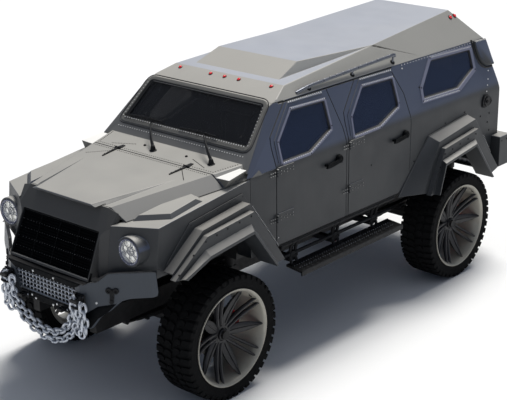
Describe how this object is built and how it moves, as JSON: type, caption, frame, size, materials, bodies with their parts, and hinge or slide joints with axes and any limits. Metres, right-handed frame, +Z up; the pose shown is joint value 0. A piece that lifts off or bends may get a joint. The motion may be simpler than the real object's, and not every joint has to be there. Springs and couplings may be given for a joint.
{
  "type": "off-road vehicle",
  "caption": "Armoured off-road wagon with opening doors and hood, steered front axle, free-rolling wheels, stepped fender flares and a tow chain on the bumper.",
  "frame": {"origin": "on the ground under the middle of the vehicle's length and width", "axes": "+Z up, the front faces -Y, the vehicle's left side is +X"},
  "size_m": [2.3, 5.96, 2.685],
  "materials": {
    "paint": "satin khaki-grey",
    "black_metal": "satin black powder coat",
    "dark_steel": "dark grey",
    "tyre": "matt black",
    "rim": "satin charcoal spokes on a champagne barrel",
    "glass": "dark blue tint",
    "screen_glass": "dark tint",
    "lamp_glass": "clear lens",
    "red_lens": "red lens",
    "galvanised": "galvanised",
    "trim_fabric": "dark woven seat cover",
    "trim_plastic": "grained black",
    "caliper": "red"
  },
  "bodies": {
    "root": {"body_side_left": "paint", "body_side_right": "paint", "roof": "paint", "windshield_frame": "paint", "rear_wall": "paint", "fender_flares": "paint", "grille_shell": "paint", "front_bumper": "paint", "rear_bumper": "paint", "front_fenders": "paint", "grilles": "black_metal", "side_steps": "black_metal", "body_mounts": "black_metal", "chassis_frame": "black_metal", "rear_step": "black_metal", "tow_hooks": "black_metal", "wipers": "black_metal", "roof_rails": "black_metal", "front_axle": "dark_steel", "rear_axle": "dark_steel", "leaf_springs": "dark_steel", "drive_shafts": "dark_steel", "engine_block": "dark_steel", "fuel_tank": "dark_steel", "exhaust": "dark_steel", "quarter_glass": "glass", "windshield": "screen_glass", "headlights": "lamp_glass", "tail_lamps": "red_lens", "tow_chain": "galvanised", "seats": "trim_fabric", "dashboard": "trim_plastic", "steering_wheel": "trim_plastic", "cab_floor": "black_metal"},
    "hood": {"hood": "paint"},
    "front_door_left": {"front_door_left": "paint", "front_door_glass_left": "glass"},
    "rear_door_left": {"rear_door_left": "paint", "rear_door_glass_left": "glass"},
    "steering_knuckle_left": {"steering_knuckle_left": "dark_steel"},
    "wheel_front_left": {"tyre_front_left": "tyre", "rim_front_left": "rim"},
    "wheel_rear_left": {"tyre_rear_left": "tyre", "rim_rear_left": "rim"},
    "front_door_right": {"front_door_right": "paint", "front_door_glass_right": "glass"},
    "rear_door_right": {"rear_door_right": "paint", "rear_door_glass_right": "glass"},
    "steering_knuckle_right": {"steering_knuckle_right": "dark_steel"},
    "wheel_front_right": {"tyre_front_right": "tyre", "rim_front_right": "rim"},
    "wheel_rear_right": {"tyre_rear_right": "tyre", "rim_rear_right": "rim"},
    "tail_door": {"tail_door": "paint", "tail_door_glass": "glass"}
  },
  "joints": [
    {"name": "hood_hinge", "type": "hinge", "parent": "root", "child": "hood", "pos_m": [0, -1.6, 1.937], "axis": [-1, 0, 0], "range_deg": [0, 60]},
    {"name": "front_door_left_hinge", "type": "hinge", "parent": "root", "child": "front_door_left", "pos_m": [0.952, -0.985, 1.6], "axis": [0, 0, -1], "range_deg": [0, 65]},
    {"name": "rear_door_left_hinge", "type": "hinge", "parent": "root", "child": "rear_door_left", "pos_m": [0.952, 0.075, 1.6], "axis": [0, 0, -1], "range_deg": [0, 65]},
    {"name": "front_door_right_hinge", "type": "hinge", "parent": "root", "child": "front_door_right", "pos_m": [-0.952, -0.985, 1.6], "axis": [0, 0, 1], "range_deg": [0, 65]},
    {"name": "rear_door_right_hinge", "type": "hinge", "parent": "root", "child": "rear_door_right", "pos_m": [-0.952, 0.075, 1.6], "axis": [0, 0, 1], "range_deg": [0, 65]},
    {"name": "tail_door_hinge", "type": "hinge", "parent": "root", "child": "tail_door", "pos_m": [-0.64, 2.806, 1.6], "axis": [0, 0, 1], "range_deg": [0, 95]},
    {"name": "steering_left", "type": "hinge", "parent": "root", "child": "steering_knuckle_left", "pos_m": [0.79, -1.79, 0.57], "axis": [0, 0, 1], "range_deg": [-28, 28]},
    {"name": "steering_right", "type": "hinge", "parent": "root", "child": "steering_knuckle_right", "pos_m": [-0.79, -1.79, 0.57], "axis": [0, 0, 1], "range_deg": [-28, 28]},
    {"name": "wheel_front_left_roll", "type": "hinge", "parent": "steering_knuckle_left", "child": "wheel_front_left", "pos_m": [0.942, -1.79, 0.57], "axis": [1, 0, 0], "continuous": true},
    {"name": "wheel_front_right_roll", "type": "hinge", "parent": "steering_knuckle_right", "child": "wheel_front_right", "pos_m": [-0.942, -1.79, 0.57], "axis": [1, 0, 0], "continuous": true},
    {"name": "wheel_rear_left_roll", "type": "hinge", "parent": "root", "child": "wheel_rear_left", "pos_m": [0.942, 1.79, 0.57], "axis": [1, 0, 0], "continuous": true},
    {"name": "wheel_rear_right_roll", "type": "hinge", "parent": "root", "child": "wheel_rear_right", "pos_m": [-0.942, 1.79, 0.57], "axis": [1, 0, 0], "continuous": true}
  ],
  "couplings": [
    {"joint": "steering_right", "follows": "steering_left", "ratio": 1}
  ]
}
